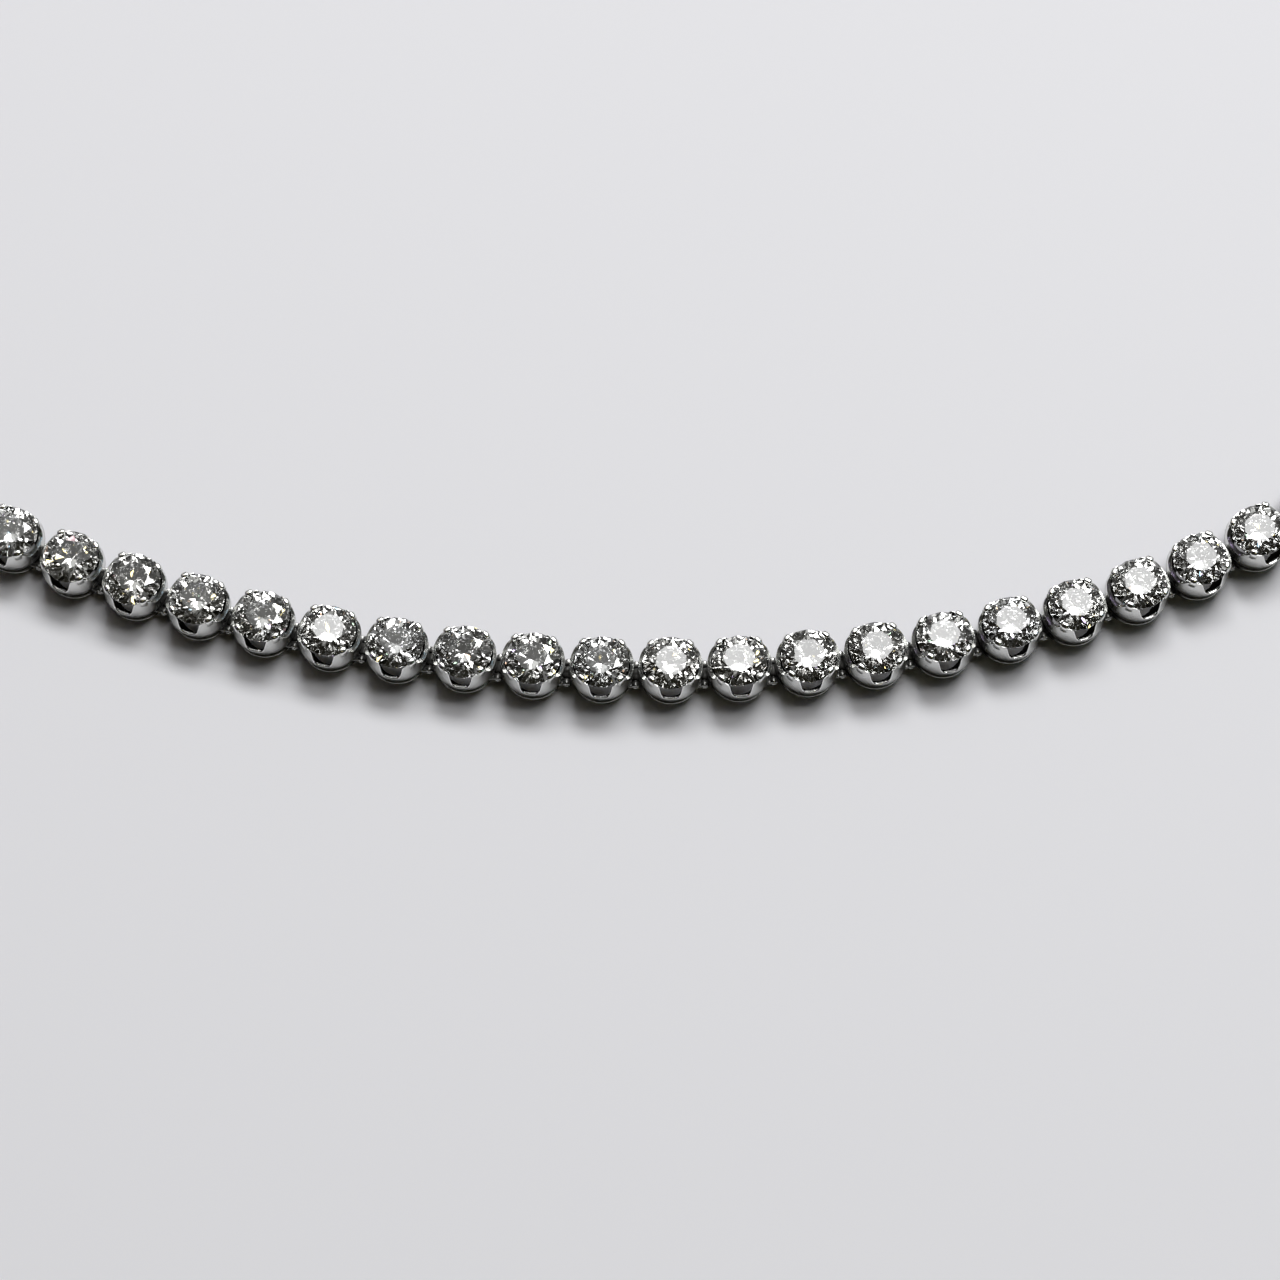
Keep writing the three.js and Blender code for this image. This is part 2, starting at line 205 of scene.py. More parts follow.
class Shape:
    """Points, how much painted shade or grime each one has, and faces as one list of corners with each
    face's count of them.
    """

    def __init__(self, points, corners, counts, shade_and_grime=0.0):
        self.points = np.asarray(points, float).reshape(-1, 3)
        self.corners = np.asarray(corners, np.int32).ravel()
        self.counts = np.asarray(counts, np.int32).ravel()
        self.shade_and_grime = np.broadcast_to(np.asarray(shade_and_grime, float).ravel(), len(self.points))

    @classmethod
    def from_grid(cls, grid, wrap_rows=False, wrap_columns=False, shade_and_grime=0.0):
        """Cells of a grid with one row of points for each value of the first parameter."""
        faces = grid_faces(grid.shape[0], grid.shape[1], wrap_rows, wrap_columns)
        shade_and_grime = np.broadcast_to(shade_and_grime, grid.shape[:2])
        return cls(grid, faces, np.full(len(faces), 4), shade_and_grime).without_doubles()

    @classmethod
    def join(cls, shapes):
        """All shapes in one, each one's corners counted on from the last."""
        firsts = np.cumsum([0] + [len(shape.points) for shape in shapes[:-1]])
        return cls(
            np.concatenate([shape.points for shape in shapes]),
            np.concatenate([shape.corners + first for shape, first in zip(shapes, firsts)]),
            np.concatenate([shape.counts for shape in shapes]),
            np.concatenate([shape.shade_and_grime for shape in shapes]),
        )

    def without_doubles(self, within=1e-8):
        """Points at one place become one, and a face that this leaves with two equal corners loses one."""
        keys = np.round(self.points / within).astype(np.int64)
        _, first, place = np.unique(keys, axis=0, return_index=True, return_inverse=True)
        faces = place.ravel()[self.corners].reshape(-1, 4)
        keep = faces != np.roll(faces, 1, axis=1)
        counts = keep.sum(axis=1)
        real = counts >= 3
        return Shape(self.points[first], faces[real][keep[real]], counts[real], self.shade_and_grime[first])

    def moved(self, matrix):
        """The shape under a 4 x 4 matrix."""
        return Shape(self.points @ matrix[:3, :3].T + matrix[:3, 3], self.corners, self.counts, self.shade_and_grime)

    def to_object(self, name, material, smooth_below=None):
        """A mesh object, placed in its mesh. Edges sharper than smooth_below stay sharp; None is flat."""
        mesh = bpy.data.meshes.new(name)
        starts = np.concatenate([[0], np.cumsum(self.counts)[:-1]]).astype(np.int32)
        mesh.vertices.add(len(self.points))
        mesh.vertices.foreach_set("co", self.points.astype(np.float32).ravel())
        mesh.loops.add(len(self.corners))
        mesh.loops.foreach_set("vertex_index", self.corners)
        mesh.polygons.add(len(self.counts))
        mesh.polygons.foreach_set("loop_start", starts)
        mesh.polygons.foreach_set("use_smooth", np.full(len(self.counts), smooth_below is not None))
        mesh.update(calc_edges=True)
        if mesh.validate():
            raise RuntimeError(f"{name}: the mesh had faults")
        if smooth_below is not None:
            mesh.set_sharp_from_angle(angle=smooth_below)
        if self.shade_and_grime.any():
            shade_and_grime = mesh.attributes.new("shade_and_grime", "FLOAT", "POINT")
            shade_and_grime.data.foreach_set("value", self.shade_and_grime.astype(np.float32))
        mesh.materials.append(material)
        piece = bpy.data.objects.new(name, mesh)
        bpy.context.scene.collection.objects.link(piece)
        return piece


def placing(x, y, z=0.0, heading=0.0, spin=0.0, tilt=(0.0, 0.0)):
    """Matrix that spins a shape about Z, tilts it about Y and X, turns it to its heading and moves it."""

    def turn(angle, first, second):
        matrix = np.eye(4)
        matrix[first, first] = matrix[second, second] = math.cos(angle)
        matrix[second, first] = math.sin(angle)
        matrix[first, second] = -math.sin(angle)
        return matrix

    move = np.eye(4)
    move[:3, 3] = (x, y, z)
    return move @ turn(heading, 0, 1) @ turn(tilt[0], 1, 2) @ turn(tilt[1], 2, 0) @ turn(spin, 0, 1)


# ---- The loop ----


def oval_places(sizes):
    """Positions and headings of all settings in order of travel, which is counter-clockwise from above.

    A place is (a sin t, -b cos t) for the oval's half width a and half depth b. The right side starts half
    a pitch from the middle of the front, and each next t, found by halving, is one pitch on in a straight
    line. The left side mirrors it. The heading is the oval's direction, (a cos t, b sin t).
    """
    a, b = sizes.loop_half_width, sizes.loop_half_depth
    right = [math.asin(sizes.pitch / 2 / a)]
    while len(right) < sizes.settings_a_side:
        last = right[-1]
        near, far = last, last + 2 * sizes.pitch / b
        for _ in range(HALVINGS):
            middle = (near + far) / 2
            step_x = a * (math.sin(middle) - math.sin(last))
            step_y = b * (math.cos(middle) - math.cos(last))
            near, far = (middle, far) if math.hypot(step_x, step_y) < sizes.pitch else (near, middle)
        right.append(near)
    t = np.concatenate([-np.array(right)[::-1], right])
    positions = np.stack([a * np.sin(t), -b * np.cos(t)], axis=1)
    headings = np.arctan2(b * np.sin(t), a * np.cos(t))

    corners = [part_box(f"stone_{i + 1:02d}") for i in range(SINGLES)]
    packed = np.array([[(low.x + high.x) / 2, (low.y + high.y) / 2] for low, high in corners])
    singles = positions[FIRST_SINGLE : FIRST_SINGLE + SINGLES]
    offset = (packed - singles).mean(axis=0)
    if np.abs(packed - singles - offset).max() > PLACE_TOLERANCE:
        raise RuntimeError("the settings aren't where the packed model has them")
    return positions + offset, headings


def single_spans(kind):
    """Node name of each single setting or stone, with its place and the next one."""
    return {f"{kind}_{i + 1:02d}": (FIRST_SINGLE + i, FIRST_SINGLE + i + 1) for i in range(SINGLES)}


def stretch_spans():
    """Node name of each stretch, with the places of its first setting and of the one after its last."""
    spans = {}
    end = FIRST_SINGLE
    for i, size in enumerate(STRETCHES["left"]):
        spans[f"left_stretch_{i + 1}"] = (end - size, end)
        end -= size
    start = FIRST_SINGLE + SINGLES
    for i, size in enumerate(STRETCHES["right"]):
        spans[f"right_stretch_{i + 1}"] = (start, start + size)
        start += size
    return spans


# ---- The setting ----

BACK_HOLE_RADIUS = 1.36 * MM
FOOT_RADIUS = 2.07 * MM
WAIST = (1.93 * MM, 0.44 * MM)  # radius and height of the groove over the foot
BELLY = (2.33 * MM, 1.68 * MM)  # where the wall is widest
BELLY_EASE = 0.10 * MM  # height over which the wall turns there
SHOULDER = (2.06 * MM, 3.02 * MM)  # top of the wall, under a claw
INSIDE_AT_SCALLOP = 2.13 * MM  # radius of the inside at the scallop's floor
INSIDE_BULGE = 0.8  # power of the height; 1 would be a straight cone
GIRDLE_CLEARANCE = 0.02 * MM
EDGE = 0.03 * MM  # rounding of the wall's edge

# A wall faces its neighbour where the cosine of its direction, from the loop's own, is over SIDE_START, and
# does so fully SIDE_EASE above that.
SIDE_START, SIDE_EASE = 0.72, 0.2
SIDE_UPRIGHT = 0.8  # share of the wall's slope that is taken away there
SIDE_BEVEL = 0.08 * MM  # half the rise from the outer to the inner edge of the rim there

RIM_STEEPNESS = 6  # power in the rim's curve
RIM_POINTS = 4001  # along half a turn, before they are thinned to even steps
RIM_COLUMNS = 32  # in a quarter turn

# Painted shade on the setting's metal, where shade falls: in the groove, under the belly, on the wall,
# inside and between the settings.
GROOVE_SHADE_HEIGHT = 0.25 * MM  # over the waist, where the painted shade in the groove ends
BELLY_SHADE, BELLY_SHADE_START, BELLY_SHADE_EASE = 0.7, 1.25 * MM, 0.45 * MM  # painted shade under the belly, which fades upwards from there
# Painted shade over all of the wall's outside, which keeps it darker than the claws.
UPPER_WALL_SHADE = 0.25
INSIDE_SHADE = 1.2  # painted shade inside the setting; over 1, so that the noise leaves no clean metal there
GAP_START, GAP_EASE = 0.74, 0.18  # as SIDE_START and SIDE_EASE, for the painted shade between the settings
GAP_SHADE_FALL, GAP_FALL_START, GAP_FALL_EASE = 0.7, 1.1 * MM, 0.7 * MM  # the painted shade's loss upwards from there


def sideways(s):
    """How far a place on the unrolled wall faces a neighbour: 1 straight at it, 0 under a claw."""
    return smoothstep((np.abs(np.cos(s / BELLY[0])) - SIDE_START) / SIDE_EASE)


def wall_outside(z, s):
    """Radius of the wall's outside at a height: a quarter sine from waist to belly, then a cone inwards.

    Towards the neighbours the cone is almost upright.
    """
    rise = np.clip((z - WAIST[1]) / (BELLY[1] - WAIST[1]), 0.0, 1.0)
    slope = (BELLY[0] - SHOULDER[0]) / (SHOULDER[1] - BELLY[1]) * (1.0 - SIDE_UPRIGHT * sideways(s))
    over = z - BELLY[1]
    eased = (over + np.sqrt(over**2 + BELLY_EASE**2)) / 2
    return WAIST[0] + (BELLY[0] - WAIST[0]) * np.sin(rise * math.pi / 2) - slope * eased


def wall_inside(z, sizes):
    """Radius of the wall's inside at a height.

    It grows from the back hole's with a power of the height up to the scallop's floor, and eases from there
    to just clear of the stone at the girdle.
    """
    rise = np.clip(z / sizes.scallop_floor, 0.0, 1.0)
    bowl = BACK_HOLE_RADIUS + (INSIDE_AT_SCALLOP - BACK_HOLE_RADIUS) * rise**INSIDE_BULGE
    near_girdle = smoothstep((z - sizes.scallop_floor) / (sizes.girdle_height - sizes.scallop_floor))
    return bowl + (sizes.stone_diameter / 2 + GIRDLE_CLEARANCE - bowl) * near_girdle


def wall_shade(z):
    """Painted shade on the wall's outside at a height: full in the groove, less up to the belly, little
    above.
    """
    in_groove = 1.0 - smoothstep((z - WAIST[1]) / GROOVE_SHADE_HEIGHT)
    under_belly = 1.0 - smoothstep((z - BELLY_SHADE_START) / BELLY_SHADE_EASE)
    return np.maximum(np.maximum(in_groove, BELLY_SHADE * under_belly), UPPER_WALL_SHADE)


def rim_curve(sizes):
    """The wall's top edge over half a turn, unrolled: distance along it, height, and way into the metal.

    The height is the shoulder's less depth exp(-(s / w)^6), for the distance s from the middle of the
    scallop, and less the same from the middles of the higher sides: flat-bottomed scoops with steep ends,
    which level out towards the claws. Points are evenly spaced along the curve. The length of a quarter turn
    comes with it.
    """
    quarter = BELLY[0] * math.pi / 2
    fine = along(0.0, 2 * quarter, RIM_POINTS)

    def scoop(floor, width, distance):
        return (SHOULDER[1] - floor) * np.exp(-((distance / width) ** RIM_STEEPNESS))

    scallop = scoop(sizes.scallop_floor, sizes.scallop_width, np.abs(fine - quarter))
    side = scoop(sizes.side_rim, sizes.side_rim_width, np.minimum(fine, 2 * quarter - fine))
    height = SHOULDER[1] - scallop - side
    length = np.concatenate([[0.0], np.cumsum(np.hypot(np.diff(fine), np.diff(height)))])
    s = np.interp(along(0.0, length[-1], 2 * RIM_COLUMNS + 1)[:-1], length, fine)
    slope = np.interp(s, fine, np.gradient(height, fine))
    steepness = np.hypot(slope, 1.0)
    return np.stack([s, np.interp(s, fine, height), slope / steepness, -1.0 / steepness]), quarter


def collet_shape(sizes):
    """The scalloped wall on its foot: a closed section carried round the stone's axis.

    Each column of points starts at an even spacing round the foot and ends on the rim's curve, so that
    columns gather where the scallop is steep. Radii come from the wall's outside and inside at each point's
    height. The rim towards the neighbours is bevelled: lower at its outer edge. Painted shade darkens the
    metal inside, in the groove over the foot, under the belly and between the settings.
    """
    rim, quarter = rim_curve(sizes)
    s, z, into_s, into_z = np.concatenate([rim, rim + np.array([[2 * quarter], [0], [0], [0]])], axis=1)
    columns = len(s)
    even = np.arange(columns) * 4 * quarter / columns

    def wall_row(share, drawn_back, bevel):
        """A row part of the way from the waist to the rim, drawn back into the metal and bevelled."""
        edge_s = s + into_s * drawn_back
        edge_z = z + into_z * drawn_back + bevel * sideways(edge_s)
        return even + (edge_s - even) * share, WAIST[1] + (edge_z - WAIST[1]) * share

    rows = []
    foot = [
        # radius  height  painted shade
        (BACK_HOLE_RADIUS, 0.0, INSIDE_SHADE),
        (FOOT_RADIUS - 0.05 * MM, 0.0, 0.3),
        (FOOT_RADIUS, 0.05 * MM, 0.0),
        (FOOT_RADIUS, 0.22 * MM, 0.0),
        (FOOT_RADIUS - 0.04 * MM, 0.28 * MM, 0.3),
        (WAIST[0] + 0.01 * MM, 0.33 * MM, 1.0),
    ]
    for radius, height, shade_and_grime in foot:
        rows.append((even, np.full(columns, height), np.full(columns, radius), shade_and_grime))
    for share in (0.0, 0.12, 0.3, 0.5, 0.75, 1.0):
        row_s, row_z = wall_row(share, 2 * EDGE, -SIDE_BEVEL)
        rows.append((row_s, row_z, wall_outside(row_z, row_s), wall_shade(row_z)))
    for inwards, drawn_back in ((0.0, 1.0), (0.3, 0.3), (1.0, 0.0)):
        row_s, row_z = wall_row(1.0, drawn_back * EDGE, -SIDE_BEVEL)
        rows.append((row_s, row_z, wall_outside(row_z, row_s) - inwards * EDGE, 0.0))
    for inwards, drawn_back in ((1.0, 0.0), (0.3, 0.3), (0.0, 1.0)):
        row_s, row_z = wall_row(1.0, drawn_back * EDGE, SIDE_BEVEL)
        rows.append((row_s, row_z, wall_inside(row_z, sizes) + inwards * EDGE, 0.0))
    for share in (1.0, 0.66, 0.33):
        row_s, row_z = wall_row(share, 3 * EDGE, SIDE_BEVEL)
        rows.append((row_s, row_z, wall_inside(row_z, sizes), INSIDE_SHADE))
    row_s, row_z, radius, shade_and_grime = zip(*rows)
    angle = np.stack(row_s) / quarter * math.pi / 2
    grid = np.stack([radius * np.cos(angle), radius * np.sin(angle), row_z], axis=-1)
    # Painted shade between the settings, where the neighbours shade the wall; less of it higher up.
    in_gap = smoothstep((np.abs(np.cos(angle)) - GAP_START) / GAP_EASE)
    higher_up = smoothstep((grid[..., 2] - GAP_FALL_START) / GAP_FALL_EASE)
    gap_shade = in_gap * (1 - GAP_SHADE_FALL * higher_up)
    shade_and_grime = np.maximum(np.stack([np.broadcast_to(row, columns) for row in shade_and_grime]), gap_shade)
    return Shape.from_grid(grid[::-1], wrap_rows=True, wrap_columns=True, shade_and_grime=shade_and_grime[::-1])


# ---- The claw ----

CLAW_BEAD_WIDTH = 0.56 * MM  # of the bead in claw_shape's table
CLAW_SQUARENESS = 3.2  # power of its section: 2 is round, more is squarer
CLAW_SIDES = 14


def rounded_box(angle):
    """Across and out on a superellipse |x|^n + |y|^n = 1, at each angle."""
    c, s = np.cos(angle), np.sin(angle)
    power = 2 / CLAW_SQUARENESS
    return np.sign(c) * np.abs(c) ** power, np.sign(s) * np.abs(s) ** power


def claw_shape(sizes):
    """One claw, at 45 degrees: rounded boxes carried along a bent path, which swell to a bead.

    Both ends close to a point.
    """
    table = np.array([
        # radius  height  half width  half thickness
        [2.090, 2.30, 0.0, 0.0],
        [2.090, 2.36, 0.16, 0.05],
        [2.105, 2.62, 0.25, 0.08],
        [2.115, 2.84, 0.26, 0.10],
        [2.120, 2.98, 0.235, 0.115],
        [2.110, 3.09, 0.215, 0.130],
        [2.080, 3.195, 0.245, 0.150],
        [2.030, 3.245, 0.268, 0.150],
        [1.960, 3.262, 0.278, 0.148],
        [1.890, 3.264, 0.272, 0.145],
        [1.835, 3.262, 0.245, 0.132],
        [1.795, 3.258, 0.175, 0.095],
        [1.778, 3.256, 0.0, 0.0],
    ]) * MM
    width_scale = sizes.claw_width / CLAW_BEAD_WIDTH
    path = table[:, :2]
    tangent = np.gradient(path, axis=0)
    tangent /= np.linalg.norm(tangent, axis=1, keepdims=True)
    unit_across, unit_out = rounded_box(along(0.0, 2 * math.pi, CLAW_SIDES + 1)[:-1])
    across = table[:, 2:3] * width_scale * unit_across
    out = table[:, 3:4] * unit_out
    radius = path[:, 0:1] + out * tangent[:, 1:2]
    height = path[:, 1:2] - out * tangent[:, 0:1]
    diagonal = math.sqrt(0.5)
    grid = np.stack([(radius - across) * diagonal, (radius + across) * diagonal, height], axis=-1)
    return Shape.from_grid(grid, wrap_columns=True)


# ---- The hinge ----

HINGE_Z = 0.66 * MM
BARREL_RADIUS = 0.32 * MM
BARREL_EDGE = 0.12 * MM  # rounding of a barrel's ends
BARREL_FACE = 0.62  # size of a barrel's flat end, as a share of the barrel's
BARREL_POINTS, BARREL_EDGE_POINTS = 17, 5
PIN_RADIUS = 0.17 * MM
PIN_OVERHANG = 0.07 * MM  # past the outer knuckles
PIN_SIDES = 16
MIDDLE_HALF_WIDTH = 0.43 * MM
OUTER_FROM, OUTER_TO = 0.50 * MM, 1.0 * MM
ARM_HALF_HEIGHT = 0.15 * MM
ARM_SPREAD = 0.7  # of the middle knuckle's arm, at its root
HINGE_SHADE = 0.45  # painted shade on the hinge at its outer ends
HINGE_SHADE_FROM, HINGE_SHADE_EASE = 0.95 * MM, 0.35 * MM  # from here inwards the hinge's painted shade grows to 1
LEADING_ROOT, TRAILING_ROOT = 1.55 * MM, -1.74 * MM  # where the arms start in the setting, along the loop


def knuckle_shape(root_x, pin_x, from_y, to_y, root_spread=0.0):
    """A barrel on an arm: a drop-shaped outline carried along the hinge, its two ends rounded and closed.

    The outline is the barrel's circle, opened on the arm's side to two straight lines back to the root. The
    root_spread widens the arm along the hinge in proportion to the distance from the pin.
    """
    way = math.copysign(1.0, pin_x - root_x)
    opening = math.asin(ARM_HALF_HEIGHT / BARREL_RADIUS)
    angle = along(-math.pi + opening, math.pi - opening, BARREL_POINTS)
    centre = np.array([[pin_x], [HINGE_Z]])
    barrel = centre + BARREL_RADIUS * np.stack([way * np.cos(angle), np.sin(angle)])
    root = np.array([[root_x, root_x], [HINGE_Z + ARM_HALF_HEIGHT, HINGE_Z - ARM_HALF_HEIGHT]])
    outline = np.concatenate([barrel, root], axis=1)
    dome = along(0.0, math.pi / 2, BARREL_EDGE_POINTS)
    levels = [(0.0, 0.0)] + [(1 - math.cos(a), BARREL_FACE + (1 - BARREL_FACE) * math.sin(a)) for a in dome]
    length = (to_y - from_y) / BARREL_EDGE
    middle = (from_y + to_y) / 2
    grid = []
    for share, scale in levels + [(length - share, scale) for share, scale in levels[::-1]]:
        x, z = centre + (outline - centre) * scale
        y = np.full_like(x, from_y + share * BARREL_EDGE)
        spread = 1 + root_spread * np.clip((pin_x - x) * way / abs(pin_x - root_x), 0.0, 1.0)
        grid.append(np.stack([x, middle + (y - middle) * spread, z], axis=-1))
    grid = np.array(grid)
    # Painted shade on the knuckle, deepest in the middle of the hinge between the settings.
    inwards = smoothstep((HINGE_SHADE_FROM - np.abs(grid[..., 1])) / HINGE_SHADE_EASE)
    shade_and_grime = HINGE_SHADE + (1 - HINGE_SHADE) * inwards
    return Shape.from_grid(grid if way > 0 else grid[:, ::-1], wrap_columns=True, shade_and_grime=shade_and_grime)


def pin_shape(pin_x):
    """The hinge's pin: a profile of distance along it and radius, turned, with domed heads."""
    end = OUTER_TO + PIN_OVERHANG
    head = np.array([
        # distance from the end  radius
        [0.0, 0.0],
        [0.0, 0.6 * PIN_RADIUS],
        [0.02 * MM, 0.9 * PIN_RADIUS],
        [0.05 * MM, PIN_RADIUS],
    ])
    y = np.concatenate([head[:, 0] - end, end - head[::-1, 0]])
    radius = np.concatenate([head[:, 1], head[::-1, 1]])
    angle = along(0.0, 2 * math.pi, PIN_SIDES + 1)[:-1]
    x = pin_x + radius[:, None] * np.sin(angle)
    z = HINGE_Z + radius[:, None] * np.cos(angle)
    grid = np.stack([x, np.broadcast_to(y[:, None], x.shape), z], axis=-1)
    return Shape.from_grid(grid[::-1], wrap_columns=True)


def leading_hinge(root_x, pin_x):
    """Two outer knuckles and the pin through them."""
    return [
        knuckle_shape(root_x, pin_x, OUTER_FROM, OUTER_TO),
        knuckle_shape(root_x, pin_x, -OUTER_TO, -OUTER_FROM),
        pin_shape(pin_x),
    ]


def trailing_hinge(root_x, pin_x):
    """The middle knuckle on an arm that spreads towards the setting."""
    return [knuckle_shape(root_x, pin_x, -MIDDLE_HALF_WIDTH, MIDDLE_HALF_WIDTH, root_spread=ARM_SPREAD)]


def setting_shape(sizes):
    """Collet, four claws and both halves of the hinges."""
    claw = claw_shape(sizes)
    claws = [claw.moved(placing(0, 0, heading=k * math.pi / 2)) for k in range(4)]
    hinges = leading_hinge(LEADING_ROOT, sizes.pitch / 2) + trailing_hinge(TRAILING_ROOT, -sizes.pitch / 2)
    return Shape.join([collet_shape(sizes), *claws, *hinges])


# ---- The clasp ----

CLASP_HALF_WIDTH = 2.2 * MM
CLASP_HEIGHT = 2.9 * MM
CLASP_CORNER = 0.45 * MM
CLASP_END = 0.30 * MM  # rounding of the two ends' edges
CLASP_TO_HINGE = 0.5 * MM
CLASP_CORNER_POINTS = 7
SEAM_DEPTH = 0.07 * MM
SEAM_FROM_END = 0.9 * MM
SEAM_GRIME = 0.6
ROOT_IN_CLASP = 0.1 * MM


def clasp_shape(pin_x):
    """The box clasp: a rounded rectangle carried along the loop, drawn in at both ends and at two seams.

    A row is the rectangle with its outline moved inwards by an inset, which lessens the radius of its
    corners: R (1 - sin a) at a distance R (1 - cos a) from an end, for a from 0 to a quarter turn, and the
    depth of a narrow groove at a seam. The seams part the tongue's end plate and the box's own from the box.
    """
    half_length = pin_x - CLASP_TO_HINGE
    turn = along(0.0, math.pi / 2, CLASP_CORNER_POINTS)
    ends = np.stack([CLASP_END * (1 - np.cos(turn)), CLASP_END * (1 - np.sin(turn))], axis=1)
    half_seam = np.array([[-1.0, 0.0], [-0.7, 0.15], [-0.2, 1.0]])  # distance along the clasp, depth
    seam = SEAM_DEPTH * np.concatenate([half_seam, half_seam[::-1] * (-1, 1)])
    x = np.concatenate([[0.0], ends[:, 0], SEAM_FROM_END + seam[:, 0]])
    inset = np.concatenate([[math.nan], ends[:, 1], seam[:, 1]])
    x = np.concatenate([x - half_length, (half_length - x)[::-1]])
    inset = np.concatenate([inset, inset[::-1]])

    corner_turn = turn + np.arange(4)[:, None] * math.pi / 2
    side_y = np.array([1, -1, -1, 1])[:, None] * (CLASP_HALF_WIDTH - CLASP_CORNER)
    side_z = CLASP_HEIGHT / 2 + np.array([1, 1, -1, -1])[:, None] * (CLASP_HEIGHT / 2 - CLASP_CORNER)
    radius = CLASP_CORNER - inset[:, None, None]
    y = np.nan_to_num(side_y + radius * np.cos(corner_turn), nan=0.0)
    z = np.nan_to_num(side_z + radius * np.sin(corner_turn), nan=CLASP_HEIGHT / 2)
    grid = np.stack([np.broadcast_to(x[:, None, None], y.shape), y, z], axis=-1).reshape(len(x), -1, 3)
    in_seam = (inset > 0.5 * SEAM_DEPTH) & (np.abs(x) < half_length - 2 * CLASP_END)
    shade_and_grime = np.where(in_seam, SEAM_GRIME, 0.0)
    box = Shape.from_grid(grid[::-1], wrap_columns=True, shade_and_grime=shade_and_grime[::-1, None])
    root_x = half_length - ROOT_IN_CLASP
    return Shape.join([box, *leading_hinge(root_x, pin_x), *trailing_hinge(-root_x, -pin_x)])


# ---- The stone ----

HALF_GIRDLE = 0.012  # half the girdle's thickness, as a share of the stone's diameter
STAR_REACH = 0.5  # of the way from the table's edge to the girdle
LOWER_REACH = 0.77  # of the way from the girdle to the culet
PAVILION = (0.424, 0.436)  # least and greatest depth, as shares of the diameter
USUAL_TILT, MOST_TILT = math.radians(2.0), math.radians(3.5)
STONE_SEED = 1124


def brilliant_shape(sizes, pavilion_share):
    """A round brilliant with its girdle's middle at z = 0: 57 flat facets and a thin faceted girdle.

    Corners lie on rings: the table's 8, the 8 between stars and upper halves, the girdle's 16 above and
    below, the 8 where lower halves meet the mains, and the culet. The star corners stand where the planes of
    the bezels on both sides cross their bisector, and the lower corners likewise, so that bezels and mains
    are flat.
    """
    girdle_r = sizes.stone_diameter / 2
    half_girdle = HALF_GIRDLE * sizes.stone_diameter
    table_r = sizes.table * girdle_r
    crown = sizes.crown * sizes.stone_diameter
    pavilion = pavilion_share * sizes.stone_diameter
    half_step = math.cos(math.pi / 8)
    star_r = table_r * half_step + STAR_REACH * (girdle_r - table_r * half_step)
    star_z = half_girdle + (girdle_r - star_r * half_step) * (crown - half_girdle) / (girdle_r - table_r)
    lower_r = (1 - LOWER_REACH) * girdle_r
    lower_z = -half_girdle - (girdle_r - lower_r * half_step) * (pavilion - half_girdle) / girdle_r

    def ring(radius, z, count, first=0.0):
        angle = first + np.arange(count) * 2 * math.pi / count
        return np.stack([radius * np.cos(angle), radius * np.sin(angle), np.full(count, z)], axis=1)

    points = np.concatenate([
        ring(table_r, crown, 8), ring(star_r, star_z, 8, math.pi / 8), ring(girdle_r, half_girdle, 16),
        ring(girdle_r, -half_girdle, 16), ring(lower_r, lower_z, 8, math.pi / 8), [[0.0, 0.0, -pavilion]],
    ])
    k = np.arange(8)
    after, before = (k + 1) % 8, (k - 1) % 8
    table, star, upper, lower, mid, culet = k, 8 + k, 16 + 2 * k, 32 + 2 * k, 48 + k, np.full(8, 56)
    upper_next, lower_next = 16 + (2 * k + 2) % 16, 32 + (2 * k + 2) % 16
    g = np.arange(16)
    facets = [
        np.stack([table, star, after], 1),
        np.stack([table, 8 + before, upper, star], 1),
        np.stack([star, upper, upper + 1], 1),
        np.stack([star, upper + 1, upper_next], 1),
        np.stack([16 + g, 32 + g, 32 + (g + 1) % 16, 16 + (g + 1) % 16], 1),
        np.stack([lower, mid, lower + 1], 1),
        np.stack([lower + 1, mid, lower_next], 1),
        np.stack([lower, 48 + before, culet, mid], 1),
    ]
    corners = np.concatenate([k] + [facet.ravel() for facet in facets])
    counts = np.concatenate([[8]] + [np.full(len(facet), facet.shape[1]) for facet in facets])
    return Shape(points, corners, counts)


def stone_turns(count):
    """How each stone is cut and sits in its claws: depth of pavilion, spin, and a small tilt. Seeded."""
    random = np.random.default_rng(STONE_SEED)
    depths = random.uniform(*PAVILION, count)
    spins = random.uniform(0.0, 2 * math.pi, count)
    tilts = random.normal(0.0, USUAL_TILT, (count, 2))
    return depths, spins, np.clip(tilts, -MOST_TILT, MOST_TILT)


# ---- Materials ----

SHADE_AND_GRIME_CELLS, POLISH_CELLS, BUFFING_CELLS = 3000.0, 900.0, 5200.0  # of each noise, in a metre
TINT_CELLS = 120.0
SHADE_AND_GRIME_HIDES_FROM = 0.6  # how thick the painted shade or grime is where it starts to hide the metal
SHADE_AND_GRIME_ROUGHNESS = 0.35
BUFFING_HEIGHT = 0.01 * MM


def node_material(name):
    """A new material, its node tree and its Principled shader."""
    material = bpy.data.materials.new(name)
    material.use_nodes = True
    tree = material.node_tree
    return material, tree, tree.nodes["Principled BSDF"]


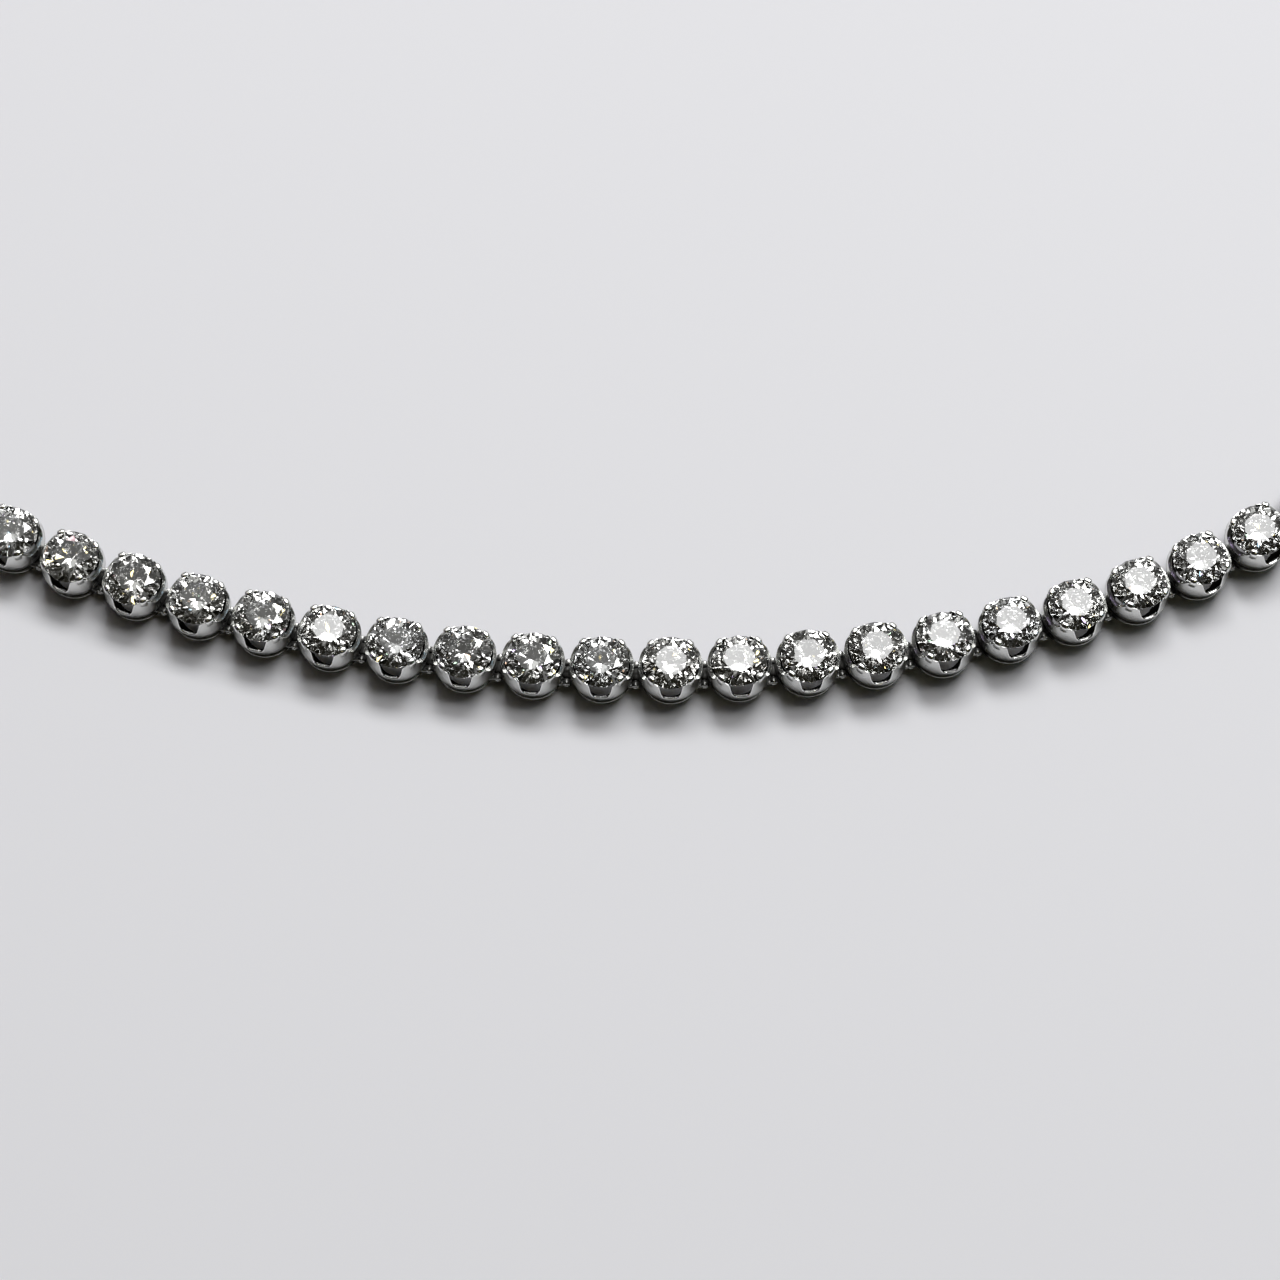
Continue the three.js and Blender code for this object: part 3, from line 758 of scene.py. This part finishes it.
def white_gold(finish):
    """Polished rhodium plate on Object coordinates, dulled and darkened by the piece's attribute of painted
    shade and seam grime.

    The roughness drifts with a soft noise, and a fine noise lays faint buffing marks as bump. Another breaks
    up the painted shade and grime by up to a seventh. Where they are thick, they hide the metal altogether.
    """
    material, tree, shader = node_material("polished_white_gold")
    shader.inputs["Specular IOR Level"].default_value = 0.0
    place = tree.nodes.new("ShaderNodeTexCoord")

    def noise(scale, detail):
        node = tree.nodes.new("ShaderNodeTexNoise")
        node.inputs["Scale"].default_value = scale
        node.inputs["Detail"].default_value = detail
        tree.links.new(place.outputs["Object"], node.inputs["Vector"])
        return node.outputs["Fac"]

    def spread(value, from_low, from_high, to_low, to_high):
        node = tree.nodes.new("ShaderNodeMapRange")
        numbers = (from_low, from_high, to_low, to_high)
        for name, number in zip(("From Min", "From Max", "To Min", "To Max"), numbers):
            node.inputs[name].default_value = number
        tree.links.new(value, node.inputs["Value"])
        return node.outputs["Result"]

    def times(value, other):
        node = tree.nodes.new("ShaderNodeMath")
        node.operation = "MULTIPLY"
        tree.links.new(value, node.inputs[0])
        tree.links.new(other, node.inputs[1])
        return node.outputs["Value"]

    # Painted shade, and grime in the clasp's seams, read from the piece's attribute: it darkens the metal
    # and, where thick, paints it matte and near black.
    shade_and_grime_node = tree.nodes.new("ShaderNodeAttribute")
    shade_and_grime_node.attribute_name = "shade_and_grime"
    shade_and_grime = times(shade_and_grime_node.outputs["Fac"], spread(noise(SHADE_AND_GRIME_CELLS, 2.0), 0.2, 0.7, 0.85, 1.0))

    colour = tree.nodes.new("ShaderNodeMix")
    colour.data_type = "RGBA"
    colour.inputs["A"].default_value = (*finish.metal_colour, 1.0)
    colour.inputs["B"].default_value = (*finish.shade_and_grime_colour, 1.0)
    tree.links.new(shade_and_grime, colour.inputs["Factor"])
    tree.links.new(colour.outputs["Result"], shader.inputs["Base Color"])
    tree.links.new(spread(shade_and_grime, SHADE_AND_GRIME_HIDES_FROM, 1.0, 1.0, 0.0), shader.inputs["Metallic"])

    smoothest, roughest = 0.6 * finish.metal_roughness, 1.5 * finish.metal_roughness
    polish = spread(noise(POLISH_CELLS, 3.0), 0.3, 0.7, smoothest, roughest)
    roughness = tree.nodes.new("ShaderNodeMix")
    roughness.inputs["B"].default_value = SHADE_AND_GRIME_ROUGHNESS
    tree.links.new(shade_and_grime, roughness.inputs["Factor"])
    tree.links.new(polish, roughness.inputs["A"])
    tree.links.new(roughness.outputs["Result"], shader.inputs["Roughness"])

    bump = tree.nodes.new("ShaderNodeBump")
    bump.inputs["Strength"].default_value = 0.15
    bump.inputs["Distance"].default_value = BUFFING_HEIGHT
    tree.links.new(noise(BUFFING_CELLS, 2.0), bump.inputs["Height"])
    tree.links.new(bump.outputs["Normal"], shader.inputs["Normal"])
    return material


def diamond(finish):
    """Clear diamond whose tint drifts a little from stone to stone, on Object coordinates."""
    material, tree, shader = node_material("cut_diamond")
    shader.inputs["Roughness"].default_value = 0.0
    shader.inputs["IOR"].default_value = finish.stone_ior
    shader.inputs["Transmission Weight"].default_value = 1.0
    place = tree.nodes.new("ShaderNodeTexCoord")
    drift = tree.nodes.new("ShaderNodeTexNoise")
    drift.inputs["Scale"].default_value = TINT_CELLS
    drift.inputs["Detail"].default_value = 1.0
    tint = tree.nodes.new("ShaderNodeValToRGB")
    tint.color_ramp.elements[0].position = 0.35
    tint.color_ramp.elements[0].color = (*finish.cool_stone, 1.0)
    tint.color_ramp.elements[1].position = 0.65
    tint.color_ramp.elements[1].color = (*finish.warm_stone, 1.0)
    tree.links.new(place.outputs["Object"], drift.inputs["Vector"])
    tree.links.new(drift.outputs["Fac"], tint.inputs["Fac"])
    tree.links.new(tint.outputs["Color"], shader.inputs["Base Color"])
    return material


def shared_material(name, make, finish):
    """The material of that name, made when it is first asked for."""
    return bpy.data.materials.get(name) or make(finish)


def finish_piece(piece, slot, *nodes):
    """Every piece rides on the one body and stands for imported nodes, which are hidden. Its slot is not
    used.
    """
    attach(piece, "root")
    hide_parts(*nodes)


# ---- Operators ----

SMOOTH_BELOW = math.radians(40)  # sharper edges of the metal pieces stay sharp


class NECKLACE_OT_settings(bpy.types.Operator):
    """Builds the polished settings, one piece for each single one and one for each stretch."""

    bl_idname = "necklace.settings"
    bl_label = "Settings"

    def execute(self, context):
        sizes = context.scene.necklace_sizes
        metal = shared_material("polished_white_gold", white_gold, context.scene.necklace_finish)
        shape = setting_shape(sizes)
        positions, headings = oval_places(sizes)
        placed = [shape.moved(placing(x, y, heading=h)) for (x, y), h in zip(positions, headings)]
        for node, (start, end) in (single_spans("setting") | stretch_spans()).items():
            piece = Shape.join(placed[start:end]).to_object(f"{node}_polished", metal, SMOOTH_BELOW)
            finish_piece(piece, "white_gold", node)
        return {"FINISHED"}


class NECKLACE_OT_stones(bpy.types.Operator):
    """Builds the cut stones, one piece for each single one and one for each stretch."""

    bl_idname = "necklace.stones"
    bl_label = "Stones"

    def execute(self, context):
        sizes = context.scene.necklace_sizes
        clear = shared_material("cut_diamond", diamond, context.scene.necklace_finish)
        positions, headings = oval_places(sizes)
        placed = [
            brilliant_shape(sizes, depth).moved(placing(x, y, sizes.girdle_height, heading, spin, tilt))
            for (x, y), heading, depth, spin, tilt in zip(positions, headings, *stone_turns(len(positions)))
        ]
        pieces = {f"{node}_cut": (node, span) for node, span in single_spans("stone").items()}
        pieces |= {f"{node}_stones": (node, span) for node, span in stretch_spans().items()}
        for name, (node, (start, end)) in pieces.items():
            piece = Shape.join(placed[start:end]).to_object(name, clear)
            finish_piece(piece, "diamond", node)
        return {"FINISHED"}


class NECKLACE_OT_clasp(bpy.types.Operator):
    """Builds the box clasp."""

    bl_idname = "necklace.clasp"
    bl_label = "Clasp"

    def execute(self, context):
        sizes = context.scene.necklace_sizes
        metal = shared_material("polished_white_gold", white_gold, context.scene.necklace_finish)
        positions, headings = oval_places(sizes)
        pin = positions[-1] + sizes.pitch / 2 * np.array([math.cos(headings[-1]), math.sin(headings[-1])])
        shape = clasp_shape(pin[0]).moved(placing(0.0, pin[1], heading=math.pi))
        piece = shape.to_object("box_clasp", metal, SMOOTH_BELOW)
        finish_piece(piece, "white_gold", "clasp")
        return {"FINISHED"}


FLOOR_HALF_WIDTH = 1.5
SURROUND_DARK = (0.012, 0.011, 0.008, 1.0)
SURROUND_BRIGHT = (1.05, 1.06, 1.05, 1.0)
NEUTRAL = (1.0, 1.0, 1.0)


class NECKLACE_OT_stage(bpy.types.Operator):
    """Sets out the floor, the light and the camera."""

    bl_idname = "necklace.stage"
    bl_label = "Stage"

    def execute(self, context):
        stage = context.scene.necklace_stage
        self.add_floor(stage)
        self.add_light(context.scene)
        self.add_camera(context.scene, stage)
        return {"FINISHED"}

    def add_floor(self, stage):
        """A wide level sheet that the settings' feet stand on."""
        grid = np.array([[-1.0, -1.0, 0.0], [-1.0, 1.0, 0.0], [1.0, -1.0, 0.0], [1.0, 1.0, 0.0]])
        grid = FLOOR_HALF_WIDTH * grid.reshape(2, 2, 3)
        material, _, shader = node_material("pale_floor")
        shader.inputs["Base Color"].default_value = (*stage.floor_colour, 1.0)
        shader.inputs["Roughness"].default_value = 0.85
        floor = Shape.from_grid(grid).to_object("floor", material)

    def add_light(self, scene):
        """A surround that is bright high behind the row, two large soft lights, a key and small glints."""
        world = bpy.data.worlds.new("surround")
        world.use_nodes = True
        tree = world.node_tree
        place = tree.nodes.new("ShaderNodeTexCoord")
        split = tree.nodes.new("ShaderNodeSeparateXYZ")
        tree.links.new(place.outputs["Generated"], split.inputs["Vector"])

        def rise(axis, start, end, least):
            """From least to 1 as the direction's share along an axis goes from start to end."""
            node = tree.nodes.new("ShaderNodeMapRange")
            node.interpolation_type = "SMOOTHSTEP"
            node.inputs["From Min"].default_value = start
            node.inputs["From Max"].default_value = end
            node.inputs["To Min"].default_value = least
            tree.links.new(split.outputs[axis], node.inputs["Value"])
            return node.outputs["Result"]

        brightness = tree.nodes.new("ShaderNodeMath")
        brightness.operation = "MULTIPLY"
        tree.links.new(rise("Y", 0.0, 0.7, 0.0), brightness.inputs[0])
        tree.links.new(rise("Z", 0.45, 0.80, 0.15), brightness.inputs[1])
        colour = tree.nodes.new("ShaderNodeMix")
        colour.data_type = "RGBA"
        colour.inputs["A"].default_value = SURROUND_DARK
        colour.inputs["B"].default_value = SURROUND_BRIGHT
        tree.links.new(brightness.outputs["Value"], colour.inputs["Factor"])
        tree.links.new(colour.outputs["Result"], tree.nodes["Background"].inputs["Color"])
        scene.world = world
        lights = [
            # name, azimuth, elevation, distance, width, height, power, colour
            ("softbox", 172.0, 52.5, 0.9, 0.62, 0.23, 5.7, NEUTRAL),
            ("panel", 172.0, 67.0, 0.9, 0.33, 0.32, 0.95, NEUTRAL),
            ("key", 128.0, 66.0, 0.85, 0.20, 0.20, 1.0, NEUTRAL),
            ("warm_glint", -130.0, 55.0, 0.8, 0.06, 0.06, 0.04, (1.0, 0.62, 0.4)),
            ("cool_glint", 100.0, 45.0, 0.8, 0.06, 0.06, 0.04, (0.5, 0.78, 1.0)),
            ("gold_glint", 30.0, 62.0, 0.8, 0.06, 0.06, 0.05, (1.0, 0.85, 0.4)),
            ("violet_glint", -75.0, 45.0, 0.8, 0.06, 0.06, 0.04, (0.75, 0.6, 1.0)),
            ("green_glint", 62.0, 35.0, 0.8, 0.05, 0.05, 0.025, (0.7, 1.0, 0.75)),
            ("rose_glint", -165.0, 35.0, 0.8, 0.05, 0.05, 0.03, (1.0, 0.65, 0.72)),
        ]
        for name, azimuth, elevation, distance, width, height, power, tint in lights:
            light = self.add_area(scene, name, math.radians(azimuth), math.radians(elevation), distance)
            light.size, light.size_y = width, height
            light.energy, light.color = power, tint
        scene.view_settings.view_transform = "Standard"
        scene.cycles.caustics_refractive = False
        scene.cycles.caustics_reflective = False
        scene.cycles.glossy_bounces = 12
        scene.cycles.transmission_bounces = 16
        scene.cycles.max_bounces = 20

    def add_area(self, scene, name, azimuth, elevation, distance):
        """A rectangular light that faces the middle of the loop."""
        light = bpy.data.lights.new(name, "AREA")
        light.shape = "RECTANGLE"
        lamp = bpy.data.objects.new(name, light)
        lamp.location = distance * self.back(azimuth, elevation)
        lamp.rotation_euler = (math.pi / 2 - elevation, 0.0, azimuth)
        scene.collection.objects.link(lamp)
        return light

    def back(self, azimuth, elevation):
        """Unit vector from what is looked at or lit back to the camera or light."""
        level = math.cos(elevation)
        return np.array([math.sin(azimuth) * level, -math.cos(azimuth) * level, math.sin(elevation)])

    def add_camera(self, scene, stage):
        """Looks down on the front of the row, a little right of its middle."""
        azimuth, elevation = stage.camera_azimuth, stage.camera_elevation
        camera = bpy.data.objects.new("camera", bpy.data.cameras.new("camera"))
        camera.data.lens = stage.camera_lens
        camera.data.clip_start = 0.01
        to_camera = stage.camera_distance * self.back(azimuth, elevation)
        camera.location = np.array(stage.camera_target) + to_camera
        camera.rotation_euler = (math.pi / 2 - elevation, 0.0, azimuth)
        scene.collection.objects.link(camera)
        scene.camera = camera


class NECKLACE_PT_panel(bpy.types.Panel):
    """Sizes, finish, stage and the steps of the build."""

    bl_label = "Riviera Necklace"
    bl_space_type = "VIEW_3D"
    bl_region_type = "UI"
    bl_category = "Necklace"

    def draw(self, context):
        for group_name, kind in GROUPS.items():
            box = self.layout.box()
            for name in kind.__annotations__:
                box.prop(getattr(context.scene, group_name), name)
        for step in STEPS:
            self.layout.operator(step.bl_idname)


STEPS = (NECKLACE_OT_settings, NECKLACE_OT_stones, NECKLACE_OT_clasp, NECKLACE_OT_stage)
GROUPS = {
    "necklace_sizes": NecklaceSizes,
    "necklace_finish": NecklaceFinish,
    "necklace_stage": NecklaceStage,
}


def register():
    for cls in (*GROUPS.values(), *STEPS, NECKLACE_PT_panel):
        bpy.utils.register_class(cls)
    for name, group in GROUPS.items():
        setattr(bpy.types.Scene, name, PointerProperty(type=group))


def unregister():
    for name in GROUPS:
        delattr(bpy.types.Scene, name)
    for cls in reversed((*GROUPS.values(), *STEPS, NECKLACE_PT_panel)):
        bpy.utils.unregister_class(cls)


def main():
    register()
    bpy.ops.necklace.settings()
    bpy.ops.necklace.stones()
    bpy.ops.necklace.clasp()
    bpy.ops.necklace.stage()


if __name__ == "__main__":
    main()
